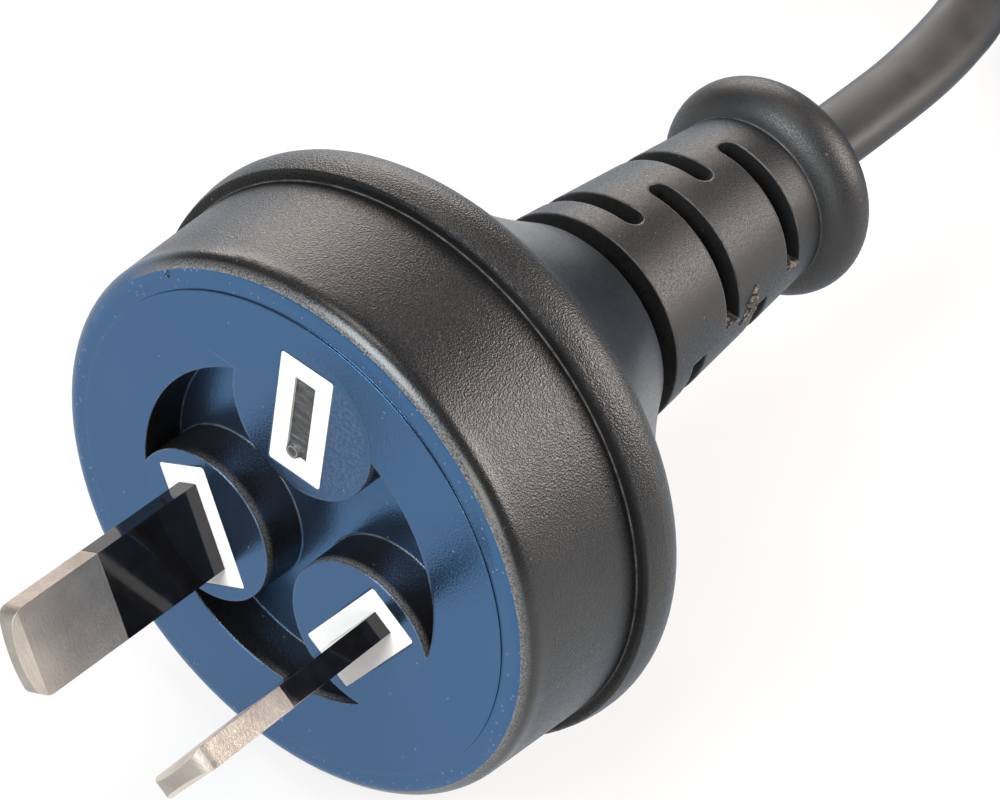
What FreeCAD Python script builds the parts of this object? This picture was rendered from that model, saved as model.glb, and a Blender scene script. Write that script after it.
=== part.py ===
import FreeCAD, Part
import Sketcher
import math
import os

# Two pin moulded plug on a flat cord, all lengths in millimetres and angles in degrees.
# The origin is the middle of the engagement face. Pins point to minus Y, the cord leaves to plus Y,
# and the blank earth place is up, along plus Z. Angles round the axis run from plus X to plus Z.

Vector = FreeCAD.Vector
Rotation = FreeCAD.Rotation
Placement = FreeCAD.Placement

doc = FreeCAD.newDocument("flat_pin_plug")
sheet = doc.addObject("Spreadsheet::Sheet", "Sizes")

SIZES = [
    # Whole plug, from the engagement face to the end of the collar
    ("plug_length", "54.8"),
    # Head and flange
    ("flange_radius", "21.42"),
    ("flange_crest_setback", "1.83"),
    ("flange_crown_rise", "0.27"),
    ("flange_edge_round", "0.25"),
    ("flange_overhang", "1.07"),
    ("head_length", "10.2"),
    ("head_draft", "0.52"),
    ("rim_round", "1.3"),
    ("band_width", "0.83"),
    ("band_setback", "0.12"),
    ("flange_back_round", "2.78"),
    ("flange_back_angle", "50"),
    # Neck, slotted relief and collar
    ("neck_end_radius", "8.5"),
    ("relief_front_radius", "8.35"),
    ("relief_rear_radius", "6.62"),
    ("slot_first", "29.6"),
    ("slot_pitch", "4.1"),
    ("slot_width", "1.8"),
    ("slot_core_radius", "4.6"),
    ("even_slot_start", "81.5"),
    ("even_slot_span", "98.5"),
    ("odd_slot_start", "3.5"),
    ("odd_slot_span", "93.5"),
    ("collar_radius", "8.58"),
    ("collar_round", "2.5"),
    # Pocket, bosses and the earth infill
    ("pocket_radius", "12.3"),
    ("pocket_depth", "3.4"),
    ("boss_radius", "5.7"),
    ("infill_setback", "0.2"),
    ("nub_radius", "0.5"),
    ("nub_offset", "0.35"),
    ("nub_inset", "0.25"),
    ("nub_depth", "1"),
    # Pins and their sleeves
    ("pin_circle", "7.92"),
    ("pin_drop_angle", "30"),
    ("earth_height", "10.42"),
    ("pin_width", "6.35"),
    ("pin_thickness", "1.63"),
    ("pin_length", "17.06"),
    ("pin_tip_corner", "1.15"),
    ("pin_tip_radius", "10"),
    ("pin_bevel_length", "0.86"),
    ("pin_bevel_depth", "0.36"),
    ("pin_shoulder", "8"),
    ("pin_tail_width", "2"),
    ("sleeve_length", "9.04"),
    ("sleeve_root", "4"),
    ("sleeve_skin", "0.32"),
    # White carrier
    ("tower_width", "9.06"),
    ("tower_thickness", "4.22"),
    ("tower_corner", "0.22"),
    ("carrier_plate_front", "6"),
    ("carrier_plate_thickness", "3"),
    ("carrier_plate_radius", "15"),
    # Crimps and cores
    ("barrel_front", "10"),
    ("barrel_length", "6"),
    ("barrel_radius", "1.3"),
    ("barrel_bore", "0.62"),
    ("barrel_wall", "1"),
    ("strand_stub", "1.5"),
    ("core_radius", "0.98"),
    ("core_lead", "4"),
    ("core_slope_length", "7"),
    # Flat cord
    ("cord_width", "5.5"),
    ("cord_thickness", "3.45"),
    ("cord_crown", "6"),
    ("cord_turn", "180"),
    # Hank
    ("hank_distance", "86"),
    ("hank_fold_radius", "16"),
    ("hank_straight", "91"),
    ("hank_columns", "2"),
    ("hank_layers", "3"),
    ("hank_join", "11"),
    ("tie_thickness", "0.8"),
    ("tie_width", "6"),
    ("tail_length", "30"),
    ("tail_core_length", "16"),
    ("tail_tip_length", "6"),
    ("tail_tip_radius", "0.55"),
]

for row, (name, number) in enumerate(SIZES, start=1):
    sheet.set("A%d" % row, name)
    sheet.set("B%d" % row, number)
    sheet.setAlias("B%d" % row, name)
doc.recompute()


class Size:
    """A number together with the sheet formula that gives it."""

    def __init__(self, value, formula):
        self.value = value
        self.formula = formula

    def __add__(self, other):
        other = as_size(other)
        return Size(self.value + other.value, "(%s + %s)" % (self.formula, other.formula))

    def __sub__(self, other):
        other = as_size(other)
        return Size(self.value - other.value, "(%s - %s)" % (self.formula, other.formula))

    def __mul__(self, other):
        other = as_size(other)
        return Size(self.value * other.value, "(%s * %s)" % (self.formula, other.formula))

    def __truediv__(self, other):
        other = as_size(other)
        return Size(self.value / other.value, "(%s / %s)" % (self.formula, other.formula))

    def __neg__(self):
        return Size(-self.value, "(0 - %s)" % self.formula)


def as_size(amount):
    if isinstance(amount, Size):
        return amount
    return Size(float(amount), "(%r)" % amount)


def size(name):
    return Size(float(sheet.get(name)), "Sizes." + name)


def cosine(angle):
    return Size(math.cos(math.radians(angle.value)), "cos(%s * 1 deg)" % angle.formula)


def sine(angle):
    return Size(math.sin(math.radians(angle.value)), "sin(%s * 1 deg)" % angle.formula)


def other_leg(slope, leg):
    value = math.sqrt(slope.value ** 2 - leg.value ** 2)
    return Size(value, "sqrt(%s ^ 2 - %s ^ 2)" % (slope.formula, leg.formula))


def bind(item, path, amount):
    item.setExpression(path, as_size(amount).formula)


# Sketch helpers

def origin_plane(body, role):
    for feature in body.Origin.OriginFeatures:
        if feature.Role == role:
            return feature
    raise RuntimeError("no plane " + role)


def new_sketch(body, name, role, setback=None):
    sketch = body.newObject("Sketcher::SketchObject", name)
    sketch.AttachmentSupport = [(origin_plane(body, role), "")]
    sketch.MapMode = "FlatFace"
    if setback is not None:
        bind(sketch, "AttachmentOffset.Base.z", -setback)
    return sketch


def fix_point(sketch, element, point, across, up):
    for kind, amount, axis in (("DistanceX", across, -2), ("DistanceY", up, -1)):
        amount = as_size(amount)
        if abs(amount.value) < 1e-9:
            sketch.addConstraint(Sketcher.Constraint("PointOnObject", element, point, axis))
        else:
            index = sketch.addConstraint(Sketcher.Constraint(kind, -1, 1, element, point, amount.value))
            sketch.setExpression("Constraints[%d]" % index, amount.formula)


def fix_radius(sketch, element, radius):
    index = sketch.addConstraint(Sketcher.Constraint("Radius", element, radius.value))
    sketch.setExpression("Constraints[%d]" % index, radius.formula)


def draw_circle(sketch, across, up, radius):
    across = as_size(across)
    up = as_size(up)
    middle = Vector(across.value, up.value, 0)
    element = sketch.addGeometry(Part.Circle(middle, Vector(0, 0, 1), radius.value), False)
    fix_point(sketch, element, 3, across, up)
    fix_radius(sketch, element, radius)


def draw_outline(sketch, corners, bends):
    # bends maps an edge's first corner to its radius, above zero where the arc bulges to the right
    count = len(corners)
    spots = []
    for across, up in corners:
        spots.append(Vector(as_size(across).value, as_size(up).value, 0))
    heads = []
    tails = []
    first = sketch.GeometryCount
    for index in range(count):
        start = spots[index]
        end = spots[(index + 1) % count]
        if index not in bends:
            sketch.addGeometry(Part.LineSegment(start, end), False)
            heads.append(1)
            tails.append(2)
            continue
        radius, turn = bends[index]
        chord = end - start
        left = Vector(-chord.y, chord.x, 0).normalize()
        rise = math.sqrt(max(radius.value ** 2 - (chord.Length / 2) ** 2, 0))
        middle = (start + end) * 0.5 + left * rise * turn
        low, high = (start, end) if turn > 0 else (end, start)
        low_angle = math.atan2(low.y - middle.y, low.x - middle.x)
        high_angle = math.atan2(high.y - middle.y, high.x - middle.x)
        if high_angle < low_angle:
            high_angle += 2 * math.pi
        circle = Part.Circle(middle, Vector(0, 0, 1), radius.value)
        sketch.addGeometry(Part.ArcOfCircle(circle, low_angle, high_angle), False)
        heads.append(1 if turn > 0 else 2)
        tails.append(2 if turn > 0 else 1)
    for index in range(count):
        following = (index + 1) % count
        sketch.addConstraint(Sketcher.Constraint(
            "Coincident", first + index, tails[index], first + following, heads[following]))
    for index in range(count):
        fix_point(sketch, first + index, heads[index], corners[index][0], corners[index][1])
    for index, (radius, turn) in bends.items():
        fix_radius(sketch, first + index, radius)


def add_pad(body, name, sketch, length, backward=False):
    pad = body.newObject("PartDesign::Pad", name)
    pad.Profile = sketch
    bind(pad, "Length", length)
    pad.Reversed = backward
    return pad


# Solid helpers

def place(item, across=0, along=0, up=0, turn=None):
    if turn is not None:
        item.Placement = Placement(Vector(0, 0, 0), turn)
    bind(item, "Placement.Base.x", across)
    bind(item, "Placement.Base.y", along)
    bind(item, "Placement.Base.z", up)
    return item


def block(name, width, height, front, rear, spot=(0, 0, 0), corner=None):
    # A bar along Y with a rectangular section, turned round Y and moved to its spot
    across, up, turn = spot
    body = doc.addObject("PartDesign::Body", name)
    sketch = new_sketch(body, name + "_section", "XZ_Plane", front)
    half_width = width / 2
    half_height = height / 2
    corners = [(-half_width, -half_height), (half_width, -half_height),
               (half_width, half_height), (-half_width, half_height)]
    bends = {}
    if corner is not None:
        inner_width = half_width - corner
        inner_height = half_height - corner
        corners = [(-inner_width, -half_height), (inner_width, -half_height),
                   (half_width, -inner_height), (half_width, inner_height),
                   (inner_width, half_height), (-inner_width, half_height),
                   (-half_width, inner_height), (-half_width, -inner_height)]
        bends = {1: (corner, 1), 3: (corner, 1), 5: (corner, 1), 7: (corner, 1)}
    draw_outline(sketch, corners, bends)
    add_pad(body, name + "_pad", sketch, rear - front, True)
    return place(body, across, 0, up, Rotation(Vector(0, 1, 0), turn))


def rod(name, radius, front, rear, across=0, up=0):
    item = doc.addObject("Part::Cylinder", name)
    bind(item, "Radius", radius)
    bind(item, "Height", rear - front)
    return place(item, across, front, up, Rotation(Vector(1, 0, 0), -90))


def box(name, across, along, up, width, length, height):
    item = doc.addObject("Part::Box", name)
    bind(item, "Length", width)
    bind(item, "Width", length)
    bind(item, "Height", height)
    return place(item, across, along, up)


def fuse(name, items):
    item = doc.addObject("Part::MultiFuse", name)
    item.Shapes = items
    return item


def cut(name, base, tool):
    item = doc.addObject("Part::Cut", name)
    item.Base = base
    item.Tool = tool
    return item


def rounded_path(points):
    # Straight runs joined by tangent arcs
    edges = []
    last = points[0]
    radii = []
    for before, corner, after in zip(points, points[1:], points[2:]):
        inward = (before - corner).normalize()
        outward = (after - corner).normalize()
        half_turn = (math.pi - inward.getAngle(outward)) / 2
        shorter = min((before - corner).Length, (after - corner).Length)
        reach = 0.45 * shorter
        radius = reach / math.tan(half_turn)
        radii.append(round(radius, 1))
        start = corner + inward * reach
        end = corner + outward * reach
        bisector = (inward + outward).normalize()
        crown = corner + bisector * (radius / math.cos(half_turn) - radius)
        edges.append(Part.LineSegment(last, start).toShape())
        edges.append(Part.Arc(start, crown, end).toShape())
        last = end
    edges.append(Part.LineSegment(last, points[-1]).toShape())
    return Part.Wire(edges), radii


def tube(name, points, radius):
    path, radii = rounded_path(points)
    heading = (points[1] - points[0]).normalize()
    ring = Part.Wire([Part.Circle(points[0], heading, radius).toShape()])
    item = doc.addObject("Part::Feature", name)
    item.Shape = path.makePipeShell([ring], True, False)
    item.Placement = Placement()
    share = item.Shape.Volume / (math.pi * radius ** 2 * path.Length)
    print("%s: length %.1f, radii %s, volume share %.3f" % (name, path.Length, radii, share))
    return item


# Places of the pins, seen from the front with the earth place up

pin_across = size("pin_circle") * cosine(size("pin_drop_angle"))
pin_up = -(size("pin_circle") * sine(size("pin_drop_angle")))
pin_turn = 90 - size("pin_drop_angle").value
SIDES = {"active": (-pin_across, pin_up, pin_turn), "neutral": (pin_across, pin_up, -pin_turn)}
EARTH = (0, size("earth_height"), 90)

barrel_rear = size("barrel_front") + size("barrel_length")
core_front = barrel_rear + size("strand_stub")
collar_rear = size("plug_length")
collar_crest = collar_rear - size("collar_round")


# Pins: flat blade with a bowed and bevelled tip, shoulder, tail and crimp barrel

def make_blade(name, spot):
    across, up, turn = spot
    half = size("pin_width") / 2
    tail = size("pin_tail_width") / 2
    corner = size("pin_tip_corner")
    tip = -size("pin_length")
    bow = size("pin_tip_radius")
    # The corner arcs touch the blade's sides and the bowed end smoothly
    inner = half - corner
    drop = other_leg(bow - corner, inner)
    side_end = tip + bow - drop
    bow_across = inner * bow / (bow - corner)
    bow_end = tip + bow - drop * bow / (bow - corner)
    shoulder = size("pin_shoulder")
    tail_rear = size("barrel_front") + size("barrel_wall") / 2
    body = doc.addObject("PartDesign::Body", name)

    plan = new_sketch(body, name + "_plan", "XY_Plane")
    corners = [(-half, side_end), (-bow_across, bow_end), (bow_across, bow_end), (half, side_end),
               (half, shoulder), (tail, shoulder), (tail, tail_rear),
               (-tail, tail_rear), (-tail, shoulder), (-half, shoulder)]
    draw_outline(plan, corners, {0: (corner, 1), 1: (bow, 1), 2: (corner, 1)})
    pad = add_pad(body, name + "_pad", plan, size("pin_thickness"))
    pad.Midplane = True

    side = new_sketch(body, name + "_bevel_section", "YZ_Plane")
    face = size("pin_thickness") / 2
    start = tip + size("pin_bevel_length")
    clear = tip - size("pin_bevel_length")
    depth = size("pin_bevel_depth") * 2
    draw_outline(side, [(clear, face), (clear, face - depth), (start, face)], {})
    draw_outline(side, [(clear, -face), (start, -face), (clear, depth - face)], {})
    bevel = body.newObject("PartDesign::Pocket", name + "_bevel")
    bevel.Profile = side
    bevel.Type = 1
    bevel.Midplane = True

    ring = new_sketch(body, name + "_barrel_section", "XZ_Plane", size("barrel_front"))
    draw_circle(ring, 0, 0, size("barrel_radius"))
    add_pad(body, name + "_barrel", ring, size("barrel_length"), True)

    hole = new_sketch(body, name + "_bore_section", "XZ_Plane", barrel_rear)
    draw_circle(hole, 0, 0, size("barrel_bore"))
    bore = body.newObject("PartDesign::Pocket", name + "_bore")
    bore.Profile = hole
    bore.Reversed = True
    bind(bore, "Length", size("barrel_length") - size("barrel_wall"))
    return place(body, across, 0, up, Rotation(Vector(0, 1, 0), turn))


blades = {}
sleeves = {}
pins = {}
for side, spot in SIDES.items():
    blades[side] = make_blade(side + "_blade", spot)
    skin = size("sleeve_skin") * 2
    sleeve_front = -size("sleeve_length")
    outer = block(side + "_sleeve_outer", size("pin_width"), size("pin_thickness"),
                  sleeve_front, size("sleeve_root"), spot)
    inner = block(side + "_sleeve_inner", size("pin_width") - skin, size("pin_thickness") - skin,
                  sleeve_front, size("sleeve_root"), spot)
    sleeves[side] = cut(side + "_pin_sleeve", outer, inner)
    pins[side] = cut(side + "_pin", blades[side], sleeves[side])


# White carrier: three towers on a round plate, with a slot in the earth tower

towers = []
for name, spot in list(SIDES.items()) + [("earth", EARTH)]:
    towers.append(block(name + "_tower", size("tower_width"), size("tower_thickness"),
                        as_size(0), size("carrier_plate_front") + size("carrier_plate_thickness") / 2, spot,
                        size("tower_corner")))
plate_rear = size("carrier_plate_front") + size("carrier_plate_thickness")
plate = rod("carrier_plate", size("carrier_plate_radius"), size("carrier_plate_front"), plate_rear)
carrier_blank = fuse("carrier_blank", towers + [plate])
earth_slot = block("earth_slot", size("pin_width"), size("pin_thickness"), as_size(0), plate_rear, EARTH)
nub_up = size("earth_height") - size("pin_width") / 2 + size("nub_inset")
nub = rod("infill_nub", size("nub_radius"), as_size(0), size("nub_depth"), -size("nub_offset"), nub_up)
carrier_tools = fuse("carrier_tools", [blades["active"], blades["neutral"], earth_slot, nub])
carrier = cut("pin_carrier", carrier_blank, carrier_tools)


# Strands in the crimps, and the cores that lead from them to the sheath

core_offset = (size("cord_width") - size("cord_thickness")) / 2
core_across = core_offset * cosine(size("cord_turn"))
core_up = core_offset * sine(size("cord_turn"))
slope_front = core_front + size("core_lead")
slope_rear = slope_front + size("core_slope_length")
inlet_front = slope_rear + size("core_lead")

strands = {}
cores = {}
for side, sign in (("active", 1), ("neutral", -1)):
    across, up, turn = SIDES[side]
    strands[side] = rod(side + "_strands", size("barrel_bore"), size("barrel_front") + size("barrel_wall"),
                        core_front, across, up)
    near = (across.value, up.value)
    far = (core_across.value * sign, core_up.value * sign)
    route = [Vector(near[0], core_front.value, near[1]), Vector(near[0], slope_front.value, near[1]),
             Vector(far[0], slope_rear.value, far[1]), Vector(far[0], inlet_front.value, far[1])]
    cores[side] = tube(side + "_core", route, size("core_radius").value)


# Flat cord section: an oval of two crowned faces and two round sides that run smoothly into each other

def flat_cord(name, front, rear, across, up, turn):
    half_width = size("cord_width") / 2
    crown = size("cord_crown")
    sink = crown - size("cord_thickness") / 2
    side = (crown * crown - sink * sink - half_width * half_width) / (crown * 2 - size("cord_width"))
    share = crown / (crown - side)
    join_across = (half_width - side) * share
    join_up = sink * share - sink
    body = doc.addObject("PartDesign::Body", name)
    sketch = new_sketch(body, name + "_section", "XZ_Plane", front)
    corners = [(-join_across, -join_up), (join_across, -join_up),
               (join_across, join_up), (-join_across, join_up)]
    draw_outline(sketch, corners, {0: (crown, 1), 1: (side, 1), 2: (crown, 1), 3: (side, 1)})
    add_pad(body, name + "_pad", sketch, rear - front, True)
    return place(body, across, 0, up, Rotation(Vector(0, 1, 0), turn))


inlet = flat_cord("cord_inlet", inlet_front, collar_rear, as_size(0), as_size(0), -size("cord_turn").value)


# Overmould blank: turned outline, round pocket in the face, and three bosses standing in it

blank = doc.addObject("PartDesign::Body", "overmould")
profile = new_sketch(blank, "overmould_outline", "XY_Plane")
head_rear_radius = size("flange_radius") - size("flange_overhang")
head_front_radius = head_rear_radius - size("head_draft")
face_radius = head_front_radius - size("rim_round") - size("band_width")
flange_edge_radius = size("flange_radius") - size("flange_crown_rise")
flange_crest = size("head_length") + size("flange_crest_setback")
crest_inner = size("flange_radius") - size("flange_back_round")
back_across = size("flange_back_round") * cosine(size("flange_back_angle"))
back_along = size("flange_back_round") * sine(size("flange_back_angle"))
crown_rise = size("flange_crown_rise")
crown_run = size("flange_crest_setback") - size("flange_edge_round")
crown_radius = (crown_rise * crown_rise + crown_run * crown_run) / (crown_rise * 2)
groove_front = size("slot_first") - size("slot_width") / 2
groove_rear = size("slot_first") + size("slot_width") / 2
neck_start = (crest_inner + back_across, flange_crest + back_along)
neck_rise = size("neck_end_radius") - neck_start[0]
neck_run = groove_front - neck_start[1]
neck_lean = neck_rise * cosine(size("flange_back_angle")) + neck_run * sine(size("flange_back_angle"))
neck_radius = (neck_rise * neck_rise + neck_run * neck_run) / (neck_lean * 2)
collar_inner = size("collar_radius") - size("collar_round")
collar_start = collar_crest - other_leg(size("collar_round"), size("relief_rear_radius") - collar_inner)
outline = [
    (0, 0),
    (face_radius, 0),
    (face_radius, size("band_setback")),
    (head_front_radius - size("rim_round"), size("band_setback")),
    (head_front_radius, size("band_setback") + size("rim_round")),
    (head_rear_radius, size("head_length")),
    (flange_edge_radius - size("flange_edge_round"), size("head_length")),
    (flange_edge_radius, size("head_length") + size("flange_edge_round")),
    (size("flange_radius"), flange_crest),
    neck_start,
    (size("neck_end_radius"), groove_front),
    (size("relief_front_radius"), groove_rear),
    (size("relief_rear_radius"), collar_start),
    (collar_inner, collar_rear),
    (0, collar_rear),
]
bends = {
    3: (size("rim_round"), 1),
    6: (size("flange_edge_round"), 1),
    7: (crown_radius, 1),
    8: (size("flange_back_round"), 1),
    9: (neck_radius, -1),
    12: (size("collar_round"), 1),
}
draw_outline(profile, outline, bends)
turned = blank.newObject("PartDesign::Revolution", "overmould_turned")
turned.Profile = profile
turned.ReferenceAxis = (profile, ["V_Axis"])
turned.Angle = 360

pocket_sketch = new_sketch(blank, "face_pocket_section", "XZ_Plane")
draw_circle(pocket_sketch, 0, 0, size("pocket_radius"))
pocket = blank.newObject("PartDesign::Pocket", "face_pocket")
pocket.Profile = pocket_sketch
bind(pocket, "Length", size("pocket_depth"))

boss_sketch = new_sketch(blank, "boss_section", "XZ_Plane")
draw_circle(boss_sketch, -pin_across, pin_up, size("boss_radius"))
draw_circle(boss_sketch, pin_across, pin_up, size("boss_radius"))
draw_circle(boss_sketch, 0, size("earth_height"), size("boss_radius"))
bosses = add_pad(blank, "bosses", boss_sketch, size("pocket_depth"), True)
place(blank)
doc.recompute()
if not bosses.Shape.Volume > pocket.Shape.Volume:
    raise RuntimeError("the bosses added nothing")
if not pocket.Shape.Volume < turned.Shape.Volume:
    raise RuntimeError("the pocket removed nothing")


# Relief slots: one full ring at the neck, then rows of paired slots that swap sides

def slot_sector(name, middle, start, span, round_first):
    # One end is cut straight near the mould's parting line and the other has a rounded tip.
    # The measured angles reach the tip, so the sector is shorter by the tip's angle.
    tip = math.degrees(math.asin(size("slot_width").value / 2 / size("relief_front_radius").value))
    first = start.value + tip if round_first else start.value
    sector = doc.addObject("Part::Cylinder", name)
    bind(sector, "Radius", size("collar_radius") * 2)
    bind(sector, "Height", size("slot_width"))
    bind(sector, "Angle", span - tip)
    turn = Rotation(Vector(1, 0, 0), 90) * Rotation(Vector(0, 0, 1), first)
    place(sector, 0, middle + size("slot_width") / 2, 0, turn)
    angle = first if round_first else start.value + span.value - tip
    heading = Vector(math.cos(math.radians(angle)), 0, math.sin(math.radians(angle)))
    end = doc.addObject("Part::Cylinder", name + "_round_end")
    bind(end, "Radius", size("slot_width") / 2)
    bind(end, "Height", size("collar_radius") * 2)
    place(end, 0, middle, 0, Rotation(Vector(0, 0, 1), heading))
    return [sector, end]


slot_pieces = [rod("slot_ring", size("flange_radius"), groove_front, groove_rear)]
for row in (1, 2, 3, 4):
    middle = size("slot_first") + size("slot_pitch") * row
    kind = "even" if row % 2 else "odd"
    start = size(kind + "_slot_start")
    span = size(kind + "_slot_span")
    slot_pieces += slot_sector("slot_%d_upper" % row, middle, start, span, kind == "even")
    slot_pieces += slot_sector("slot_%d_lower" % row, middle, start + 180, span, kind == "even")
slot_blank = fuse("slot_blank", slot_pieces)
slot_core = rod("slot_core", size("slot_core_radius"), as_size(0), collar_rear)
slots = cut("relief_slots", slot_blank, slot_core)


# The overmould closes round everything inside it and fills the earth slot of the carrier

infill_space = block("infill_space", size("pin_width"), size("pin_thickness"),
                     as_size(0), size("infill_setback"), EARTH)
infill_dip = cut("infill_dip", infill_space, nub)
inside = fuse("moulded_in", [carrier, blades["active"], blades["neutral"],
                             strands["active"], strands["neutral"],
                             cores["active"], cores["neutral"], inlet, slots, infill_dip])
plug_body = cut("plug_body", blank, inside)


# Free cord from the collar to the top layer of the hank; its points were chosen by hand

floor_up = -size("flange_radius")
hank_up = floor_up + size("tie_thickness")
lead_up = hank_up + size("cord_width") * (size("hank_layers") - 1) + size("cord_width") / 2
outer_lane = size("hank_fold_radius") + size("cord_thickness") * (size("hank_columns") - 1)
exit_along = collar_rear.value
join_along = collar_rear + size("hank_distance")
route = [
    Vector(0, exit_along, 0),
    Vector(0, exit_along + 12, 0),
    Vector(-1.2, exit_along + 28, -1),
    Vector(-12, exit_along + 51, -4.6),
    Vector(-outer_lane.value, join_along.value - 13, lead_up.value),
    Vector(-outer_lane.value, join_along.value, lead_up.value),
]
cord = tube("cord", route, size("cord_width").value / 2)


# Hank: a long loop of turns, the flat cord on edge, with a layer open where it comes in and where it leaves

def loop_solid(name, radius, height):
    front = join_along - size("hank_join")
    rear = front + size("hank_straight")
    ends = []
    for label, along in (("front", front), ("rear", rear)):
        end = doc.addObject("Part::Cylinder", "%s_%s" % (name, label))
        bind(end, "Radius", radius)
        bind(end, "Height", height)
        ends.append(place(end, 0, along, hank_up))
    middle = box(name + "_middle", -radius, front, hank_up, radius * 2, size("hank_straight"), height)
    return fuse(name, ends + [middle])


hank_height = size("cord_width") * size("hank_layers")
hank_outer_radius = outer_lane + size("cord_thickness") / 2
hank_inner_radius = size("hank_fold_radius") - size("cord_thickness") / 2
hank_wall = hank_outer_radius - hank_inner_radius
hank_outer = loop_solid("hank_outer", hank_outer_radius, hank_height)
hank_inner = loop_solid("hank_inner", hank_inner_radius, hank_height)
opening_along = join_along - size("hank_join") - hank_outer_radius
opening_length = size("hank_join") + hank_outer_radius
top_opening = box("hank_top_opening", -hank_outer_radius, opening_along,
                  hank_up + hank_height - size("cord_width"),
                  hank_outer_radius, opening_length, size("cord_width"))
bottom_opening = box("hank_bottom_opening", 0, opening_along, hank_up,
                     hank_outer_radius, opening_length, size("cord_width"))
hank_tools = fuse("hank_tools", [hank_inner, top_opening, bottom_opening])
cord_hank = cut("cord_hank", hank_outer, hank_tools)

ties = []
tie_along = join_along - size("hank_join") + size("hank_straight") / 2 - size("tie_width") / 2
for side, inner_across in (("left", -hank_outer_radius), ("right", hank_inner_radius)):
    outer = box("tie_outer_" + side, inner_across - size("tie_thickness"), tie_along, floor_up,
                hank_wall + size("tie_thickness") * 2, size("tie_width"),
                hank_height + size("tie_thickness") * 2)
    inner = box("tie_inner_" + side, inner_across, tie_along, hank_up,
                hank_wall, size("tie_width"), hank_height)
    ties.append(cut("hank_tie_" + side, outer, inner))


# Far end of the cord, with its stripped cores and bare tips

tail_up = hank_up + size("cord_width") / 2
tail_across = outer_lane
tail_front = join_along - size("tail_length")
cord_tail = flat_cord("cord_tail", tail_front, join_along, tail_across, tail_up, 90)
tail_pieces = []
for side, sign in (("active", 1), ("neutral", -1)):
    up = tail_up + core_offset * sign
    core_end = tail_front - size("tail_core_length")
    tail_pieces.append(rod(side + "_tail", size("core_radius"), core_end, tail_front, tail_across, up))
    tip_end = core_end - size("tail_tip_length")
    tail_pieces.append(rod(side + "_tip", size("tail_tip_radius"), tip_end, core_end, tail_across, up))


# Check and write each sub-part

nodes = [plug_body, carrier, pins["active"], pins["neutral"], sleeves["active"], sleeves["neutral"],
         strands["active"], strands["neutral"], cores["active"], cores["neutral"], inlet,
         cord, cord_hank] + ties + [cord_tail] + tail_pieces

doc.recompute()
for item in doc.Objects:
    if "Invalid" in item.State or "Error" in item.State:
        raise RuntimeError("%s did not build" % item.Name)
os.makedirs("parts", exist_ok=True)
for item in nodes:
    item.Label = item.Name
    if item.Shape.isNull() or not item.Shape.isValid() or item.Shape.Volume <= 0:
        raise RuntimeError("%s has no sound shape" % item.Name)
    item.Shape.exportStep("parts/%s.step" % item.Label)
    print("%s: volume %.2f, solids %d" % (item.Label, item.Shape.Volume, len(item.Shape.Solids)))
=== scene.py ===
import bpy
import math
from mathutils import Matrix, Vector


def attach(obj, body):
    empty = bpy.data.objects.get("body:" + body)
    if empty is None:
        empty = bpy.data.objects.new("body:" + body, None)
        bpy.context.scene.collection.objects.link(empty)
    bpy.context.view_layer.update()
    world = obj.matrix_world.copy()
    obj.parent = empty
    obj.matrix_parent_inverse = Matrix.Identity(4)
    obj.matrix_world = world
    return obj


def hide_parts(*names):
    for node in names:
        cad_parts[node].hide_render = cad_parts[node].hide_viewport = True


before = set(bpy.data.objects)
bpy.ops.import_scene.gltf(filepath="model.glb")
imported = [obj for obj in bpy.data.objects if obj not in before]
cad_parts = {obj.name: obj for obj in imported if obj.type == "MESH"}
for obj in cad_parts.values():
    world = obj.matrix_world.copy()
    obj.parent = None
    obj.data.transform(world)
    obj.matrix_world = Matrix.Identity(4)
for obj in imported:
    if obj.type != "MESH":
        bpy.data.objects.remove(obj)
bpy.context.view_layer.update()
scene = bpy.context.scene
scene.view_settings.view_transform = "Standard"

# Camera, solved from the pins and the round head in the photograph, its place in metres
LENS = 127.9
SENSOR_WIDTH = 36.0
CAMERA_RIGHT = (0.76434, 0.63126, 0.13151)
CAMERA_UP = (-0.50943, 0.46614, 0.72332)
CAMERA_BACK = (0.39530, -0.61986, 0.67787)
CAMERA_SPOT = (0.095441, -0.127567, 0.161623)


def make_camera():
    data = bpy.data.cameras.new("camera")
    data.sensor_fit = "HORIZONTAL"
    data.sensor_width = SENSOR_WIDTH
    data.lens = LENS
    data.clip_start = 0.01
    data.clip_end = 10.0
    camera = bpy.data.objects.new("camera", data)
    scene.collection.objects.link(camera)
    place = Matrix(((*CAMERA_RIGHT, 0), (*CAMERA_UP, 0), (*CAMERA_BACK, 0), (*CAMERA_SPOT, 1)))
    camera.matrix_world = place.transposed()
    scene.camera = camera


make_camera()

# Millimetres in metres
MM = 0.001

# Sizes of the plug that the materials follow, in metres, across and up from the middle of the face
PIN_CIRCLE = 0.00792
PIN_TURN = math.radians(30)
PIN_ACROSS = PIN_CIRCLE * math.cos(PIN_TURN)
PIN_DOWN = -PIN_CIRCLE * math.sin(PIN_TURN)
EARTH_UP = 0.01042
BOSS_RADIUS = 0.0057
POCKET_RADIUS = 0.0123
BELOW_POCKET = 0.004
FACE_EDGE = 0.0170
BAND_RADIUS = 0.0174
ABOVE_BAND = 0.0001
EARTH_HALF_WIDTH = 0.0009
EARTH_HALF_HEIGHT = 0.0036
NUB = (-0.00035, 0.007495)
NUB_RING = 0.00038
NICK = (-0.01180, 0.01468)
NICK_LIP = (-0.01199, 0.01474)
# The materials' values along the plug are given at distances up to this, in millimetres
PLUG_SPAN = 60.0

# Blue tint of the face's gloss, a painted reflection of blue light, and the sockets of the colour mix node
FACE_BLUE_REFLECTION = (0.18, 0.48, 1.0)
MIX_SHARE = 0
MIX_FIRST = 6
MIX_SECOND = 7
MIX_RESULT = 2


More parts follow.
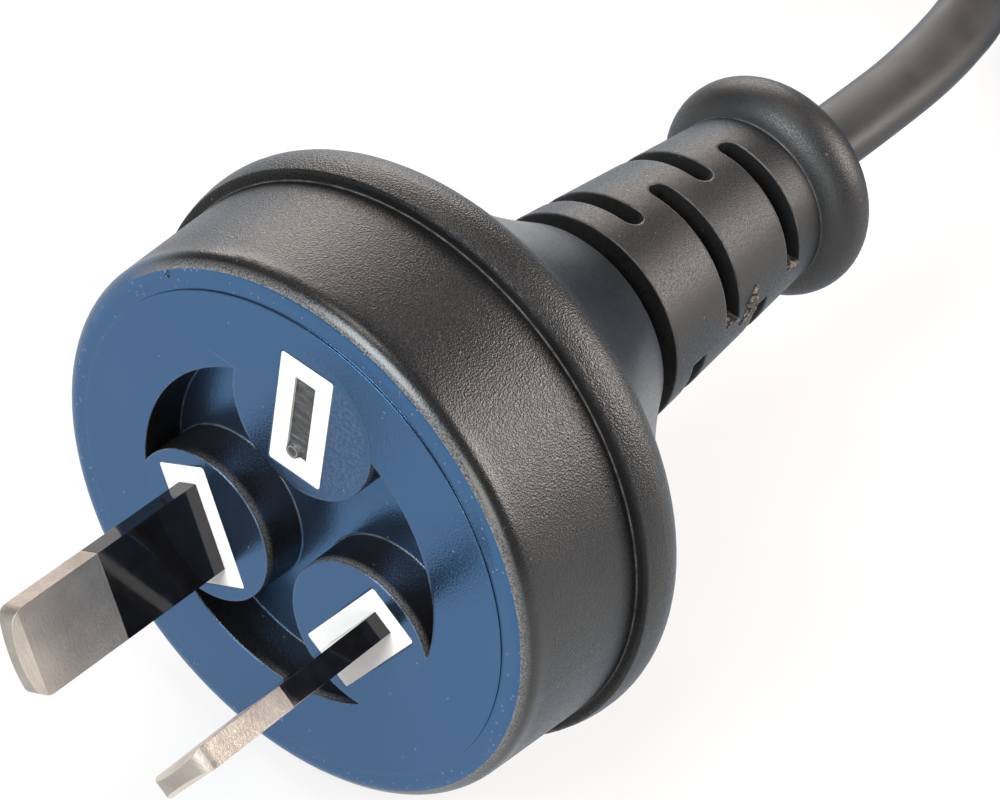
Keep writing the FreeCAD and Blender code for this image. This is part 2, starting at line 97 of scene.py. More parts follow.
# Material helpers
class Nodes:
    """A small builder for node materials."""

    def __init__(self, name):
        self.material = bpy.data.materials.new(name)
        self.material.use_nodes = True
        self.tree = self.material.node_tree
        self.tree.nodes.clear()
        self.output = self.tree.nodes.new("ShaderNodeOutputMaterial")
        self.shader = self.tree.nodes.new("ShaderNodeBsdfPrincipled")
        self.link(self.shader, "BSDF", self.output, "Surface")
        self.place = self.tree.nodes.new("ShaderNodeTexCoord")

    def link(self, source, out, target, into):
        self.tree.links.new(source.outputs[out], target.inputs[into])

    def set(self, **values):
        for name, value in values.items():
            self.shader.inputs[name.replace("_", " ")].default_value = value

    def mapping(self, stretch, turn):
        node = self.tree.nodes.new("ShaderNodeMapping")
        node.inputs["Rotation"].default_value = [math.radians(a) for a in turn]
        node.inputs["Scale"].default_value = stretch
        self.link(self.place, "Object", node, "Vector")
        return node

    def noise(self, scale, detail=3.0, rough=0.5, stretch=None, turn=(0, 0, 0)):
        node = self.tree.nodes.new("ShaderNodeTexNoise")
        node.inputs["Scale"].default_value = scale
        node.inputs["Detail"].default_value = detail
        node.inputs["Roughness"].default_value = rough
        if stretch is None:
            self.link(self.place, "Object", node, "Vector")
        else:
            self.link(self.mapping(stretch, turn), "Vector", node, "Vector")
        return node

    def cells(self, scale):
        node = self.tree.nodes.new("ShaderNodeTexVoronoi")
        node.inputs["Scale"].default_value = scale
        self.link(self.place, "Object", node, "Vector")
        return node

    def range(self, source, out, low, high, to_low, to_high):
        node = self.tree.nodes.new("ShaderNodeMapRange")
        node.inputs["From Min"].default_value = low
        node.inputs["From Max"].default_value = high
        node.inputs["To Min"].default_value = to_low
        node.inputs["To Max"].default_value = to_high
        self.link(source, out, node, "Value")
        return node

    def math(self, operation, first, out, second, other_out=None):
        node = self.tree.nodes.new("ShaderNodeMath")
        node.operation = operation
        self.link(first, out, node, 0)
        if other_out is None:
            node.inputs[1].default_value = second
        else:
            self.link(second, other_out, node, 1)
        return node

    def colours(self, source, out, stops):
        node = self.tree.nodes.new("ShaderNodeValToRGB")
        ramp = node.color_ramp
        while len(ramp.elements) < len(stops):
            ramp.elements.new(0.5)
        for element, (position, colour) in zip(ramp.elements, stops):
            element.position = position
            element.color = (*colour, 1)
        self.link(source, out, node, "Fac")
        return node

    def paint(self, source, stops):
        # Base colour from a texture
        self.link(self.colours(source, "Fac", stops), "Color", self.shader, "Base Color")

    def roughen(self, source, low, high):
        # Roughness from a texture
        self.link(self.range(source, "Fac", 0.3, 0.7, low, high), "Result", self.shader, "Roughness")

    def along(self, stops):
        # A value that follows the distance behind the face, in millimetres
        parts = self.tree.nodes.new("ShaderNodeSeparateXYZ")
        self.link(self.place, "Object", parts, "Vector")
        share = self.range(parts, "Y", 0.0, PLUG_SPAN * MM, 0.0, 1.0)
        return self.colours(share, "Result", [(at / PLUG_SPAN, (v, v, v)) for at, v in stops])

    def towards(self, turn, low, high):
        # Rises from 0 to 1 across the plug, towards an angle round its axis
        reach = self.tree.nodes.new("ShaderNodeVectorMath")
        reach.operation = "DOT_PRODUCT"
        angle = math.radians(turn)
        reach.inputs[1].default_value = (math.cos(angle), 0, math.sin(angle))
        self.link(self.place, "Object", reach, 0)
        return self.range(reach, "Value", low, high, 0.0, 1.0)

    def from_axis(self, across=0.0, up=0.0):
        # Distance from a line along the plug's axis
        shift = self.tree.nodes.new("ShaderNodeMapping")
        shift.inputs["Location"].default_value = (-across, 0, -up)
        shift.inputs["Scale"].default_value = (1, 0, 1)
        self.link(self.place, "Object", shift, "Vector")
        length = self.tree.nodes.new("ShaderNodeVectorMath")
        length.operation = "LENGTH"
        self.link(shift, "Vector", length, 0)
        return length

    def near(self, source, out, value, half):
        # 1 where the source is at the value, falling to 0 at half away
        gap = self.math("ABSOLUTE", self.math("SUBTRACT", source, out, value), "Value", 0.0)
        return self.range(gap, "Value", 0.0, half, 1.0, 0.0)

    def blend(self, share, out, first, second):
        # The first colour comes from a ramp or another blend, the second is plain
        node = self.tree.nodes.new("ShaderNodeMix")
        node.data_type = "RGBA"
        self.link(share, out, node, MIX_SHARE)
        self.link(first, "Color" if "Color" in first.outputs else MIX_RESULT, node, MIX_FIRST)
        node.inputs[MIX_SECOND].default_value = (*second, 1)
        return node

    def painted_blue_reflection(self, blue=None):
        # A painted reflection: the gloss is tinted blue at a grazing angle, as blue light reflected there,
        # and tinted to the face's blue where blue is 1
        weight = self.tree.nodes.new("ShaderNodeLayerWeight")
        tint = self.colours(weight, "Facing", [(0.48, (0.92, 0.97, 1.0)), (0.75, (0.30, 0.64, 1.0))])
        if blue is None:
            self.link(tint, "Color", self.shader, "Specular Tint")
        else:
            self.link(self.blend(blue, "Value", tint, FACE_BLUE_REFLECTION), MIX_RESULT, self.shader, "Specular Tint")

    def bevel(self, radius):
        node = self.tree.nodes.new("ShaderNodeBevel")
        node.samples = 6
        node.inputs["Radius"].default_value = radius
        return node

    def edges(self, rounded, share):
        # Rises to the share where the surface turns sharply: lighter worn edges, which also stand in as
        # painted edge highlights
        plain = self.tree.nodes.new("ShaderNodeNewGeometry")
        turn = self.tree.nodes.new("ShaderNodeVectorMath")
        turn.operation = "DOT_PRODUCT"
        self.link(rounded, "Normal", turn, 0)
        self.link(plain, "Normal", turn, 1)
        sharp = self.range(turn, "Value", 0.94, 0.76, 0.0, share)
        broken = self.range(self.noise(1100.0, 2.0), "Fac", 0.36, 0.58, 0.35, 1.0)
        return self.math("MULTIPLY", sharp, "Result", broken, "Result")

    def bump(self, source, out, strength, distance, under=None):
        node = self.tree.nodes.new("ShaderNodeBump")
        node.inputs["Distance"].default_value = distance
        if isinstance(strength, float):
            node.inputs["Strength"].default_value = strength
        else:
            self.link(strength, "Color", node, "Strength")
        self.link(source, out, node, "Height")
        if under is not None:
            self.link(under, "Normal", node, "Normal")
        return node

    def finish(self, normal=None):
        if normal is not None:
            self.link(normal, "Normal", self.shader, "Normal")
        return self.material


def dress(node, material):
    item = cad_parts[node]
    item.data.materials.clear()
    item.data.materials.append(material)


# Materials of the plug, with the radius in metres that its edges seem to have
EDGE_ROUND = 0.00028


def grained_black():
    # Leather grain on the head and flange, smooth neck, fine matt speckle on the relief and collar
    m = Nodes("grained_black")
    m.set(IOR=1.5)
    # The face's painted blue reflection runs round the rim on its lower left, in a blue gloss tint and a
    # raised gloss
    left = m.towards(210, 0.0015, 0.0075)
    outer = m.range(m.from_axis(), "Value", FACE_EDGE - 0.0015, FACE_EDGE, 0.0, 1.0)
    painted_blue_rim = m.math("MULTIPLY", left, "Result", outer, "Result")
    edge = m.along([(0, 1.0), (1.1, 1.0), (2.2, 0.0), (60, 0.0)])
    blue = m.math("MULTIPLY", painted_blue_rim, "Value", edge, "Color")
    m.painted_blue_reflection(blue)
    cloud = m.noise(240.0, 4.0)
    tone = m.colours(cloud, "Fac", [(0.3, (0.006, 0.006, 0.0065)), (0.75, (0.012, 0.0115, 0.012))])
    dust = m.range(m.cells(620.0), "Distance", 0.03, 0.07, 0.5, 0.0)
    dusty = m.blend(dust, "Result", tone, (0.16, 0.155, 0.15))
    rounded = m.bevel(EDGE_ROUND)
    # Sharp edges are lightened, as wear and as a painted edge highlight
    worn = m.blend(m.edges(rounded, 0.8), "Value", dusty, (0.20, 0.195, 0.19))
    # The rim where it leaves the face is painted lighter, a painted highlight line that fades round the plug
    speckle = m.noise(9000.0, 2.0)
    rim = m.along([(0, 0.0), (0.16, 0.0), (0.24, 0.75), (0.36, 0.75), (0.56, 0.0), (60, 0.0)])
    broken = m.range(speckle, "Fac", 0.35, 0.6, 0.2, 1.0)
    fading = m.math("MULTIPLY", broken, "Result", m.towards(30, -0.0075, -0.0015), "Result")
    painted_rim_highlight = m.math("MULTIPLY", rim, "Color", fading, "Value")
    light = m.blend(painted_rim_highlight, "Value", worn, (0.26, 0.258, 0.26))
    m.link(light, MIX_RESULT, m.shader, "Base Color")
    zone = m.along([
        (0, 0.26), (1.2, 0.30), (2.2, 0.41), (13, 0.40), (18, 0.36), (27, 0.35), (30, 0.50), (60, 0.48),
    ])
    rough = m.math("MULTIPLY", zone, "Color", m.range(speckle, "Fac", 0.35, 0.65, 0.72, 1.25), "Result")
    m.link(rough, "Value", m.shader, "Roughness")
    # The crease in front of the flange is dull, and its reflection is turned down as painted shade in the
    # crease
    sheen = m.along([(0, 0.6), (8.7, 0.6), (9.7, 0.2), (10.3, 0.12), (10.5, 0.6), (60, 0.6)])
    # The gloss is raised where the rim carries the face's painted blue reflection
    gloss = m.math("ADD", sheen, "Color", m.range(blue, "Value", 0.0, 1.0, 0.0, 2.1), "Result")
    m.link(gloss, "Value", m.shader, "Specular IOR Level")
    leather = m.cells(7400.0)
    coarse = m.noise(4600.0, 2.0)
    deep = m.along([
        (0, 0.1), (1.2, 0.3), (2.5, 0.75), (9, 1.0), (13.5, 1.0), (16, 0.3), (20, 0.1), (29, 0.0),
    ])
    fine = m.along([(0, 0.15), (28, 0.15), (30, 0.8), (60, 0.9)])
    first = m.bump(leather, "Distance", deep, 0.000028, rounded)
    second = m.bump(coarse, "Fac", deep, 0.00002, first)
    return m.finish(m.bump(speckle, "Fac", fine, 0.000025, second))


def face_black():
    # The moulded face: a painted blue reflection in its raised, blue-tinted gloss and its blue-tinted base
    # colour, fine speckle, and witness lines of the bosses and the pocket
    m = Nodes("face_black")
    # Painted reflection: the face's gloss is raised and tinted blue
    m.set(IOR=2.0, Specular_IOR_Level=1.0, Specular_Tint=(*FACE_BLUE_REFLECTION, 1))
    speckle = m.noise(6500.0, 2.0)
    cloud = m.noise(180.0, 4.0)
    # The face's base colour is tinted blue: painted blue light on black plastic
    tone = m.colours(cloud, "Fac", [(0.3, (0.006, 0.012, 0.024)), (0.75, (0.010, 0.018, 0.034))])
    grey = m.range(m.from_axis(), "Value", POCKET_RADIUS - 0.0001, POCKET_RADIUS + 0.0001, 0.55, 0.0)
    greyed = m.blend(grey, "Result", tone, (0.014, 0.018, 0.025))
    # The blank earth boss is dull and scuffed towards its right side
    scuffs = m.noise(3600.0, 3.0, 0.6)
    from_earth = m.from_axis(0.0, EARTH_UP)
    blank = m.range(from_earth, "Value", BOSS_RADIUS - 0.0007, BOSS_RADIUS + 0.0001, 1.0, 0.0)
    right = m.math("MULTIPLY", blank, "Result", m.towards(0, -0.002, 0.0025), "Result")
    scuffed = m.math("MULTIPLY", right, "Value", m.range(scuffs, "Fac", 0.42, 0.62, 0.0, 1.0), "Result")
    worn = m.blend(scuffed, "Value", greyed, (0.060, 0.054, 0.052))
    # Witness lines of the pocket and the bosses
    seam = m.near(m.from_axis(), "Value", POCKET_RADIUS, 0.00006)
    marks = m.math("MAXIMUM", seam, "Result", 0.0)
    for across, up in ((-PIN_ACROSS, PIN_DOWN), (PIN_ACROSS, PIN_DOWN), (0.0, EARTH_UP)):
        ring = m.near(m.from_axis(across, up), "Value", BOSS_RADIUS, 0.00005)
        marks = m.math("MAXIMUM", marks, "Value", ring, "Result")
    lined = m.blend(m.range(marks, "Value", 0.0, 1.0, 0.0, 0.3), "Result", worn, (0.012, 0.014, 0.018))
    # Dust, and grit on the low band outside the step
    dust = m.range(m.cells(540.0), "Distance", 0.03, 0.06, 0.6, 0.0)
    outside = m.range(m.from_axis(), "Value", BAND_RADIUS, BAND_RADIUS + 0.0006, 0.0, 0.55)
    grit = m.range(m.cells(1650.0), "Distance", 0.09, 0.17, 1.0, 0.0)
    band_grit = m.math("MULTIPLY", outside, "Result", grit, "Result")
    specks = m.math("MAXIMUM", dust, "Result", band_grit, "Value")
    dusty = m.blend(specks, "Value", lined, (0.20, 0.22, 0.25))
    scratch = m.noise(900.0, 2.0, 0.6, (0.05, 1.0, 1.5), (0, 35, 0))
    scratched = m.blend(m.range(scratch, "Fac", 0.72, 0.76, 0.0, 0.3), "Result", dusty, (0.11, 0.13, 0.16))
    rounded = m.bevel(EDGE_ROUND)
    inside = m.range(m.from_axis(), "Value", FACE_EDGE - 0.0005, FACE_EDGE, 1.0, 0.0)
    # The face's sharp edges are lightened, as wear and as a painted edge highlight
    edge_wear_and_highlight = m.math("MULTIPLY", m.edges(rounded, 0.7), "Value", inside, "Result")
    with_worn_lit_edges = m.blend(edge_wear_and_highlight, "Value", scratched, (0.2, 0.21, 0.23))
    # A small cut at the rim with a bright lip
    lip = m.range(m.from_axis(*NICK_LIP), "Value", 0.00015, 0.00025, 1.0, 0.0)
    lipped = m.blend(lip, "Result", with_worn_lit_edges, (0.30, 0.30, 0.31))
    cut = m.range(m.from_axis(*NICK), "Value", 0.0, 0.0003, 1.0, 0.0)
    nicked = m.blend(m.range(cut, "Result", 0.0, 0.3, 0.0, 1.0), "Result", lipped, (0.003, 0.003, 0.003))
    m.link(nicked, MIX_RESULT, m.shader, "Base Color")
    rough = m.range(speckle, "Fac", 0.3, 0.7, 0.17, 0.27)
    dull = m.math("ADD", rough, "Result", m.range(right, "Value", 0.0, 1.0, 0.0, 0.3), "Result")
    m.link(dull, "Value", m.shader, "Roughness")
    first = m.bump(marks, "Value", 0.25, -0.00002, rounded)
    pit = m.bump(cut, "Result", 1.0, -0.0005, first)
    return m.finish(m.bump(speckle, "Fac", 0.5, 0.00003, pit))


def infill_black():
    # The filled earth slot: dull, with short slanting tool marks and a light ring on the nub
    m = Nodes("infill_black")
    marks = m.noise(1300.0, 3.0, 0.6, (0.7, 1.0, 2.0), (0, -52, 0))
    tone = m.colours(marks, "Fac", [
        (0.35, (0.03, 0.032, 0.036)), (0.6, (0.07, 0.075, 0.08)), (0.70, (0.19, 0.195, 0.20)),
    ])
    ring = m.near(m.from_axis(*NUB), "Value", NUB_RING, 0.00009)
    ringed = m.blend(ring, "Result", tone, (0.24, 0.245, 0.25))
    m.link(ringed, MIX_RESULT, m.shader, "Base Color")
    m.roughen(marks, 0.6, 0.35)
    return m.finish(m.bump(marks, "Fac", 0.7, 0.00012))


def white_plastic():
    m = Nodes("white_carrier")
    cloud = m.noise(400.0, 3.0)
    m.paint(cloud, [(0.3, (0.84, 0.84, 0.83)), (0.7, (0.89, 0.89, 0.88))])
    m.roughen(cloud, 0.32, 0.42)
    fine = m.noise(3000.0, 2.0)
    return m.finish(m.bump(fine, "Fac", 0.1, 0.00003, m.bevel(0.00008)))


def sheared_edge():
    # The cut edges of the blades: duller than the rolled faces, with short lines across
    m = Nodes("sheared_edge")
    m.set(Metallic=1.0)
    lines = m.noise(2400.0, 3.0, 0.6, (1.0, 3.0, 1.0))
    m.paint(m.noise(500.0, 3.0), [(0.3, (0.34, 0.31, 0.28)), (0.7, (0.45, 0.415, 0.375))])
    m.roughen(lines, 0.42, 0.62)
    return m.finish(m.bump(lines, "Fac", 0.6, 0.00006, m.bevel(0.00005)))


def plated_pin():
    m = Nodes("plated_pin")
    m.set(Metallic=1.0)
    mottle = m.noise(4800.0, 3.0, 0.6)
    lines = m.noise(2600.0, 2.0, 0.5, (0.2, 5.0, 0.2))
    m.paint(m.noise(420.0, 4.0), [(0.3, (0.60, 0.545, 0.485)), (0.7, (0.74, 0.685, 0.62))])
    m.roughen(mottle, 0.40, 0.54)
    first = m.bump(lines, "Fac", 0.3, 0.00003, m.bevel(0.00005))
    return m.finish(m.bump(mottle, "Fac", 0.5, 0.00005, first))


def gloss_sleeve():
    m = Nodes("gloss_sleeve")
    m.set(IOR=1.55, Specular_IOR_Level=0.5)
    cloud = m.noise(900.0, 3.0)
    m.paint(cloud, [(0.3, (0.006, 0.006, 0.007)), (0.7, (0.011, 0.011, 0.012))])
    m.roughen(cloud, 0.04, 0.10)
    return m.finish(m.bump(cloud, "Fac", 0.05, 0.00003, m.bevel(0.0001)))


def sheath(name, dark, light, rough_low, rough_high):
    m = Nodes(name)
    # The gloss is tinted blue at a grazing angle, a painted blue reflection
    m.painted_blue_reflection()
    cloud = m.noise(320.0, 4.0)
    m.paint(cloud, [(0.3, dark), (0.7, light)])
    m.roughen(cloud, rough_low, rough_high)
    fine = m.noise(3800.0, 2.0)
    return m.finish(m.bump(fine, "Fac", 0.2, 0.00003))


def torn_plastic():
    # Dull torn plastic with dark cracks between lighter crumbs
    m = Nodes("torn_edge")
    crumbs = m.noise(2600.0, 3.0, 0.6)
    m.paint(crumbs, [
        (0.40, (0.012, 0.012, 0.012)), (0.50, (0.10, 0.09, 0.082)), (0.66, (0.26, 0.235, 0.21)),
    ])
    m.roughen(crumbs, 0.8, 0.5)
    return m.finish(m.bump(crumbs, "Fac", 0.8, 0.00012))


def copper():
    m = Nodes("copper")
    m.set(Metallic=1.0)
    strands = m.noise(1800.0, 2.0, 0.5, (2.0, 0.15, 2.0))
    m.paint(strands, [(0.3, (0.55, 0.26, 0.14)), (0.7, (0.80, 0.45, 0.28))])
    m.roughen(strands, 0.22, 0.4)
    return m.finish(m.bump(strands, "Fac", 0.5, 0.0001))


cord_black = sheath("cord_black", (0.022, 0.022, 0.023), (0.034, 0.033, 0.034), 0.46, 0.56)
# The step's material is darker than the body's, painted shade in the step
step_shaded_black = sheath("step_shaded_black", (0.004, 0.004, 0.005), (0.008, 0.008, 0.010), 0.6, 0.7)
brown = sheath("core_brown", (0.15, 0.06, 0.03), (0.22, 0.10, 0.05), 0.35, 0.45)
blue = sheath("core_blue", (0.03, 0.12, 0.38), (0.06, 0.19, 0.50), 0.35, 0.45)
tie_grey = sheath("tie_grey", (0.07, 0.07, 0.075), (0.12, 0.12, 0.125), 0.4, 0.55)
torn = torn_plastic()
metal = plated_pin()
cut_edge = sheared_edge()
bare = copper()
sleeve = gloss_sleeve()


# Dressing of the solids, with the places of the added materials on the body and on a blade
FACE = 1
INFILL = 2
STEP = 3
CUT_EDGE = 1


def dress_body():
    dress("plug_body", grained_black())
    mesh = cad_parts["plug_body"].data
    for material in (face_black(), infill_black(), step_shaded_black):
        mesh.materials.append(material)
    for polygon in mesh.polygons:
        spot = polygon.center
        if math.hypot(spot.x, spot.z) > BAND_RADIUS and spot.y < ABOVE_BAND:
            # The low step round the face is dull, and painted darker than the body as shade in the step
            polygon.material_index = STEP
        elif polygon.normal.y < -0.9 and spot.y < BELOW_POCKET:
            in_slot = abs(spot.x) < EARTH_HALF_WIDTH and abs(spot.z - EARTH_UP) < EARTH_HALF_HEIGHT
            polygon.material_index = INFILL if in_slot else FACE


def dress_blade(node, lean):
    # The faces that don't look along the blade's thickness are cut edges
    dress(node, metal)
    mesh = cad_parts[node].data
    mesh.materials.append(cut_edge)
    thin = Vector((lean * math.cos(PIN_TURN), 0, math.sin(PIN_TURN)))
    for polygon in mesh.polygons:
        if abs(polygon.normal.dot(thin)) < 0.6:
            polygon.material_index = CUT_EDGE


dress_body()
dress("pin_carrier", white_plastic())
for side, lean, core in (("active", 1, brown), ("neutral", -1, blue)):
    dress_blade(side + "_pin", lean)
    dress(side + "_pin_sleeve", sleeve)
    dress(side + "_strands", bare)
    dress(side + "_core", core)
    dress(side + "_tail", core)
    dress(side + "_tip", bare)
dress("cord_inlet", cord_black)
dress("hank_tie_left", tie_grey)
dress("hank_tie_right", tie_grey)


# Flat cord, in millimetres: the route of the solids, moved by about 1 mm to follow the photograph,
# then the turns of the hank, then the tail
WIDTH = 5.5
THICK = 3.45
CROWN = 6.0
EXIT = 54.8
FLOOR = -21.42
HANK_UP = FLOOR + 0.8
FOLD = 16.0
STRAIGHT = 91.0
LANE_OUT = FOLD + THICK
JOIN = EXIT + 86.0
FRONT = JOIN - 11.0
REAR = FRONT + STRAIGHT

LEVEL = [HANK_UP + WIDTH * (layer + 0.5) for layer in range(3)]
LANES = [(LANE_OUT, LEVEL[2]), (FOLD, LEVEL[2]), (FOLD, LEVEL[1]),
         (LANE_OUT, LEVEL[1]), (FOLD, LEVEL[0]), (LANE_OUT, LEVEL[0])]

# Places along a straight of the hank, and in degrees the steps round a fold and the stretch of a lane change
STATIONS = [FRONT + 21, FRONT + 45, FRONT + 69, REAR]
FOLD_STEP = 30
LANE_CHANGE = 36.0
# The points of a bend stand off its arc by this factor, and by less where it meets a straight
CORNER = 1 / math.cos(math.radians(FOLD_STEP / 2))
MEETING = 1.02


def hank_points():
    points = []
    last = len(LANES) - 1
    for turn, (radius, height) in enumerate(LANES):
        points += [(-radius, along, height) for along in STATIONS]
        for step in (1, 2, 3, 4, 5):
            angle = math.radians(180 - FOLD_STEP * step)
            reach = radius * (CORNER if step in (2, 3, 4) else MEETING)
            points.append((reach * math.cos(angle), REAR + reach * math.sin(angle), height))
        points += [(radius, along, height) for along in reversed(STATIONS)]
        if turn == last:
            break
        next_radius, next_height = LANES[turn + 1]
        # The change of lane moves along the front bend, so that no two turns want one place
        begin = LANE_CHANGE * (last - 1 - turn)
        for step in range(7):
            degrees = FOLD_STEP * step
            share = min(max((degrees - begin) / LANE_CHANGE, 0.0), 1.0)
            r = radius + (next_radius - radius) * share
            z = height + (next_height - height) * share
            reach = r * CORNER if 0 < step < 6 else r
            angle = math.radians(-degrees)
            points.append((reach * math.cos(angle), FRONT + reach * math.sin(angle), z))
    return points


ROUTE = [
    (0, EXIT, 0),
    (0.1, EXIT + 9, -0.05),
    (-0.45, EXIT + 20, -0.55),
    (-3.2, EXIT + 33, -1.75),
    (-12, EXIT + 51, -4.6),
    (-LANE_OUT, EXIT + 73, LEVEL[2]),
]
TAIL = [(LANE_OUT, FRONT, LEVEL[0]), (LANE_OUT, JOIN - 30, LEVEL[0])]


def smooth_line(name, points):
    data = bpy.data.curves.new(name, "CURVE")
    data.dimensions = "3D"
    data.resolution_u = 8
    spline = data.splines.new("NURBS")
    spline.points.add(len(points) - 1)
    for spot, (x, y, z) in zip(spline.points, points):
        spot.co = (x * MM, y * MM, z * MM, 1)
    spline.order_u = 3
    spline.use_endpoint_u = True
    item = bpy.data.objects.new(name, data)
    scene.collection.objects.link(item)
    mesh = bpy.data.meshes.new_from_object(item)
    line = [v.co.copy() for v in mesh.vertices]
    bpy.data.objects.remove(item)
    bpy.data.meshes.remove(mesh)
    return line


def section(width, thick, crown, steps=8):
    # An oval of two crowned faces and two round sides
    sink = crown - thick / 2
    side = (crown ** 2 - sink ** 2 - width ** 2 / 4) / (2 * crown - width)
    reach = width / 2 - side
    edge = math.atan2(sink, reach)
    ring = []
    for sign in (1, -1):
        for step in range(steps):
            angle = edge * (2 * step / steps - 1)
            ring.append((sign * (reach + side * math.cos(angle)), sign * side * math.sin(angle)))
        for step in range(steps):
            angle = edge + (math.pi - 2 * edge) * step / steps
            ring.append((sign * crown * math.cos(angle), sign * (crown * math.sin(angle) - sink)))
    return ring


def flat_tube(name, line, ring, broad):
    # broad gives the direction of the cord's width at each point of the line
    vertices = []
    faces = []
    count = len(ring)
    for index, spot in enumerate(line):
        ahead = line[min(index + 1, len(line) - 1)] - line[max(index - 1, 0)]
        ahead.normalize()
        wide = broad(index)
        wide = (wide - ahead * wide.dot(ahead)).normalized()
        thin = ahead.cross(wide)
        for a, b in ring:
            vertices.append(spot + wide * (a * MM) + thin * (b * MM))
    for index in range(len(line) - 1):
        for step in range(count):
            first = index * count + step
            second = index * count + (step + 1) % count
            faces.append((first, second, second + count, first + count))
    faces.append(tuple(reversed(range(count))))
    faces.append(tuple(range((len(line) - 1) * count, len(line) * count)))
    mesh = bpy.data.meshes.new(name)
    mesh.from_pydata(vertices, [], faces)
    mesh.update()
    for polygon in mesh.polygons:
        polygon.use_smooth = len(polygon.vertices) == 4
    item = bpy.data.objects.new(name, mesh)
    scene.collection.objects.link(item)
    return item


cord_line = smooth_line("cord_line", ROUTE + hank_points() + TAIL)
run = [0.0]
for before, after in zip(cord_line, cord_line[1:]):
    run.append(run[-1] + (after - before).length)

# The cord's quarter twist, in millimetres of cord from the exit
TWIST_START = 12
TWIST_LENGTH = 62.0


def broad_side(index):
    # The width lies level where the cord leaves the collar and stands upright before the hank
    share = min(max((run[index] / MM - TWIST_START) / TWIST_LENGTH, 0.0), 1.0)
    share = share * share * (3 - 2 * share)
    angle = math.radians(180 - 90 * share)
    return Vector((math.cos(angle), 0, math.sin(angle)))


flex = flat_tube("flat_cord", cord_line, section(WIDTH, THICK, CROWN), broad_side)
flex.data.materials.append(cord_black)
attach(flex, "root")
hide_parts("cord", "cord_hank", "cord_tail")


# Torn flash beside a relief slot, and the torn skin on the flat ends of the slots, in millimetres
FLAKE_ROWS = 13
FLAKE_COLUMNS = 9
FLAKE_ROOT = -0.2
RELIEF_FRONT = 30.5
RELIEF_RADIUS = 8.35
RELIEF_TAPER = 0.0894
WALL_TURN = math.radians(3.5)
WALL_DEPTH = 2.2
WALL_HALF_WIDTH = 0.88


def torn_piece(name, place, proud):
    # A crumpled flake: place turns the shares up and across and the lift into a spot in millimetres
    rows = FLAKE_ROWS
    columns = FLAKE_COLUMNS
    vertices = []
    faces = []
    for layer in (0, 1):
        for row in range(rows):
            share = row / (rows - 1)
            for column in range(columns):
                across = 2 * column / (columns - 1) - 1
                crumple = math.sin(23.0 * share + 5.1 * across) * math.cos(11.0 * across - 7.0 * share)
                lift = proud * (0.6 + 0.4 * crumple) * (1 - 0.6 * across * across)
                spot = place(share, across, lift if layer else FLAKE_ROOT)
                vertices.append([length * MM for length in spot])
    size = rows * columns
    for row in range(rows - 1):
        for column in range(columns - 1):
            a = row * columns + column
            faces.append((size + a, size + a + 1, size + a + columns + 1, size + a + columns))
            faces.append((a, a + columns, a + columns + 1, a + 1))
    rim = list(range(columns)) + [r * columns + columns - 1 for r in range(1, rows)]
    rim += [(rows - 1) * columns + c for c in range(columns - 2, -1, -1)]
    rim += [r * columns for r in range(rows - 2, 0, -1)]
    for a, b in zip(rim, rim[1:] + rim[:1]):
        faces.append((a, b, size + b, size + a))
    mesh = bpy.data.meshes.new(name)
    mesh.from_pydata(vertices, [], faces)
    mesh.update()
    mesh.materials.append(torn)
    item = bpy.data.objects.new(name, mesh)
    scene.collection.objects.link(item)
    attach(item, "root")


def on_side(along, width, low, high, lean=0.0):
    # Spots on the right side of the relief
    def place(share, across, lift):
        up = low + (high - low) * share
        half = width / 2 * (0.35 + 0.65 * math.sin(math.pi * (0.12 + 0.8 * share)))
        half *= 1 + 0.25 * math.sin(9.1 * share + 1.3 + low)
        y = along + lean * (share - 0.5) + 0.12 * math.sin(6.3 * share + low) + half * across
        reach = RELIEF_RADIUS - RELIEF_TAPER * (y - RELIEF_FRONT) + lift
        return math.sqrt(reach * reach - up * up), y, up
    return place


def on_wall(along, outer):
    # Spots on the flat end of a slot
    def place(share, across, lift):
        reach = outer - WALL_DEPTH + WALL_DEPTH * share
        x = reach * math.cos(WALL_TURN) - lift * math.sin(WALL_TURN)
        up = reach * math.sin(WALL_TURN) + lift * math.cos(WALL_TURN)
        return x, along + WALL_HALF_WIDTH * across, up
    return place


torn_piece("torn_flash", on_side(40.45, 1.25, 0.15, 1.35), 0.4)
torn_piece("torn_flash_top", on_side(40.85, 0.6, 1.15, 1.95), 0.22)
torn_piece("torn_flash_end", on_side(39.75, 0.85, -0.45, 0.55, 0.7), 0.2)
torn_piece("torn_wall", on_wall(37.8, 7.66), 0.14)
torn_piece("torn_wall_rear", on_wall(46.0, 6.93), 0.10)


# Floor and light, in metres and watts
FLOOR_GAP = 0.00002
FLOOR_GLOW = 0.72
PLUG_MIDDLE = Vector((0, 0.02, 0))
WARM = (1.0, 0.88, 0.80)


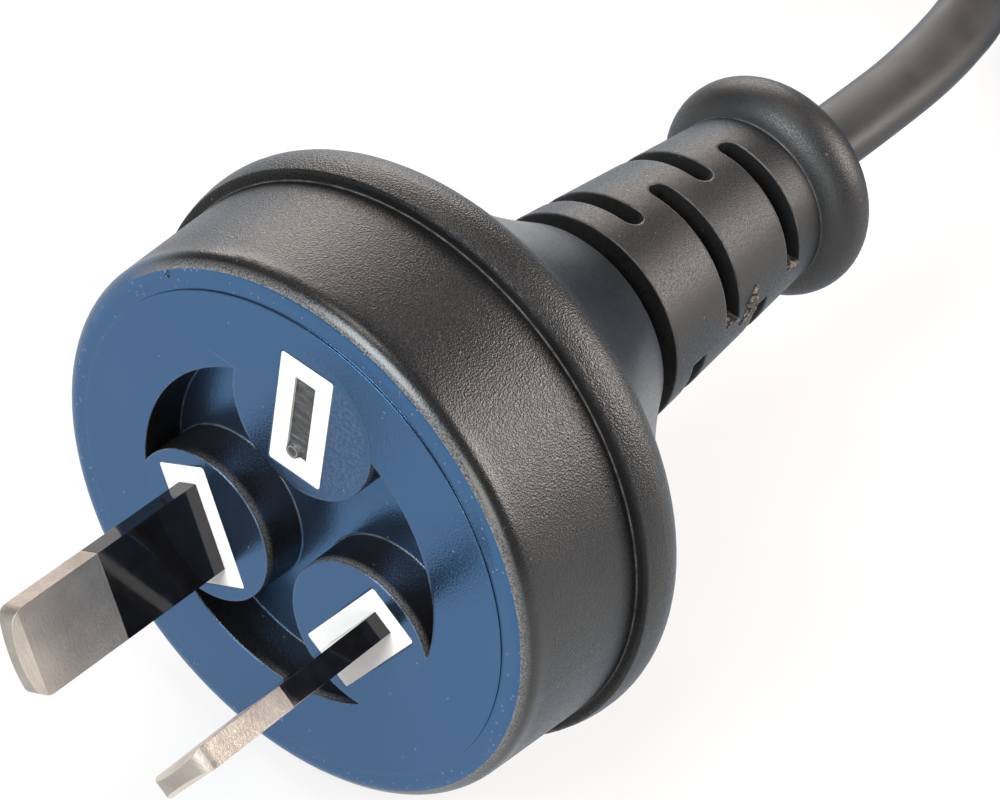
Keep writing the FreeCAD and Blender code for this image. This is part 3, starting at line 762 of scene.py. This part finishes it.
def make_floor():
    bpy.ops.mesh.primitive_plane_add(size=6.0, location=(0, 0, FLOOR * MM - FLOOR_GAP))
    floor = bpy.context.object
    floor.name = "floor"
    m = Nodes("floor_white")
    m.set(Roughness=0.9, Specular_IOR_Level=0.0, Emission_Color=(1, 1, 1, 1))
    m.paint(m.noise(12.0, 3.0), [(0.3, (0.22, 0.22, 0.22)), (0.7, (0.23, 0.23, 0.23))])
    path = m.tree.nodes.new("ShaderNodeLightPath")
    seen = m.math("MAXIMUM", path, "Is Camera Ray", path, "Is Glossy Ray")
    seen = m.math("MAXIMUM", seen, "Value", path, "Is Transmission Ray")
    m.link(m.range(seen, "Value", 0.0, 1.0, 0.0, FLOOR_GLOW), "Result", m.shader, "Emission Strength")
    floor.data.materials.append(m.finish())


def soft_lamp(name, direction, distance, size, power, colour):
    data = bpy.data.lights.new(name, "AREA")
    data.shape = "RECTANGLE"
    data.size = size[0]
    data.size_y = size[1]
    data.energy = power
    data.color = colour
    lamp = bpy.data.objects.new(name, data)
    lamp.location = Vector(direction).normalized() * distance + PLUG_MIDDLE
    lamp.rotation_euler = Vector(direction).to_track_quat("Z", "Y").to_euler()
    scene.collection.objects.link(lamp)


def soft_world(colour, strength):
    world = bpy.data.worlds.new("studio")
    world.use_nodes = True
    background = world.node_tree.nodes["Background"]
    background.inputs["Color"].default_value = (*colour, 1)
    background.inputs["Strength"].default_value = strength
    scene.world = world


make_floor()
soft_lamp("left_rear", (-0.68, 0.62, 0.36), 0.6, (0.44, 0.38), 2.9, WARM)
soft_lamp("right_rear", (0.6, 0.62, 0.5), 0.6, (0.34, 0.34), 4.4, WARM)
soft_lamp("above", (-0.2, -0.1, 1.0), 0.6, (0.2, 0.2), 0.8, (1.0, 0.9, 0.82))
soft_lamp("front", (-0.1, -0.78, 0.62), 0.7, (0.4, 0.4), 6.0, (0.97, 0.99, 1.0))
soft_lamp("front_right", (0.6, -0.75, 0.3), 0.7, (0.3, 0.3), 1.6, (1.0, 0.95, 0.9))
soft_world((0.88, 0.94, 1.0), 0.14)
